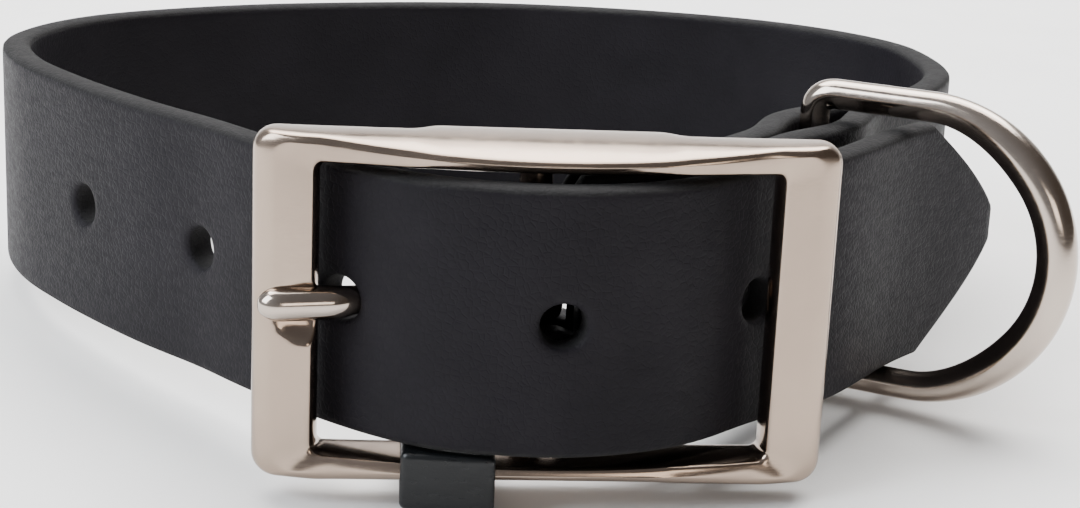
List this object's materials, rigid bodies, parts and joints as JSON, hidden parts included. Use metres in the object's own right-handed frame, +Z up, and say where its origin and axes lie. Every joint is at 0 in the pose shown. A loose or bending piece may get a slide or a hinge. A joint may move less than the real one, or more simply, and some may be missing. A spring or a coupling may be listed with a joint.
{
  "type": "dog collar",
  "caption": "Black leather dog collar, buckled into a loop: curved nickel frame buckle with a prong, punched holes, pointed tail and a swinging D-ring.",
  "frame": {"origin": "middle of the bounding box's base, on the surface that the collar stands on", "axes": "+X from left to right along the buckle as seen from the front, +Y from the buckle to the back of the loop, +Z up; the neck goes through along Z"},
  "size_m": [0.15, 0.1398, 0.0442],
  "materials": {
    "leather": "matte, with paler rounded cut edges",
    "keeper_leather": "satin",
    "nickel": "satin to polished warm nickel"
  },
  "bodies": {
    "collar": {"strap": "leather", "buckle_frame": "nickel", "prong": "nickel", "keeper_loop": "keeper_leather", "rivet_by_buckle": "nickel", "rivet_by_ring": "nickel"},
    "d_ring": {"d_ring": "nickel"}
  },
  "joints": [
    {"name": "d_ring_swing", "type": "hinge", "parent": "collar", "child": "d_ring", "pos_m": [0.04143, -0.02049, 0.02142], "axis": [0, 0.0608, 0.9982], "range_deg": [-50, 67]}
  ]
}
